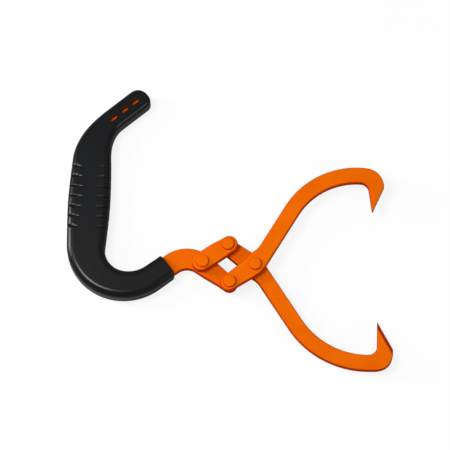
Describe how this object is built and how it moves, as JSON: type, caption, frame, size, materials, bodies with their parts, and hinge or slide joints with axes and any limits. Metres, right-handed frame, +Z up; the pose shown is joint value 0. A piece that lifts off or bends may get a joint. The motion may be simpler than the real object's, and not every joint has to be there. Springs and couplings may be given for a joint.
{
  "type": "log tongs",
  "caption": "Hand log tongs: a J-shaped rubber-covered handle bar joined by a riveted scissor linkage to two curved steel jaws with inward hooked points.",
  "frame": {"origin": "middle of the footprint of the tongs lying flat, at the height of the underside of the grip", "axes": "+X from the grip towards the jaws, +Y across them towards the upper jaw's side, +Z up through the thickness of the plates"},
  "size_m": [0.3073, 0.2758, 0.0265],
  "materials": {
    "orange_paint": "semi-gloss powder coat",
    "black_rubber": "satin moulded rubber"
  },
  "bodies": {
    "handle": {"handle_bar": "orange_paint", "grip": "black_rubber", "link_handle_rivet": "orange_paint", "jaw_handle_rivet": "orange_paint"},
    "upper_jaw": {"upper_jaw": "orange_paint"},
    "lower_jaw": {"lower_jaw": "orange_paint", "main_rivet": "orange_paint", "link_jaw_rivet": "orange_paint"},
    "link": {"link": "orange_paint"}
  },
  "joints": [
    {"name": "jaw_open", "type": "hinge", "parent": "handle", "child": "upper_jaw", "pos_m": [-0.00016, -0.05381, 0.0156], "axis": [0, 0, 1], "range_deg": [-38, 56]},
    {"name": "link_swing", "type": "hinge", "parent": "handle", "child": "link", "pos_m": [-0.02571, -0.03421, 0.0156], "axis": [0, 0, 1], "range_deg": [-38, 56]},
    {"name": "lower_jaw_turn", "type": "hinge", "parent": "upper_jaw", "child": "lower_jaw", "pos_m": [0.02383, -0.03683, 0.0156], "axis": [0, 0, 1], "range_deg": [-56, 38]}
  ],
  "couplings": [
    {"joint": "link_swing", "follows": "jaw_open", "ratio": 1},
    {"joint": "lower_jaw_turn", "follows": "jaw_open", "ratio": -1}
  ]
}
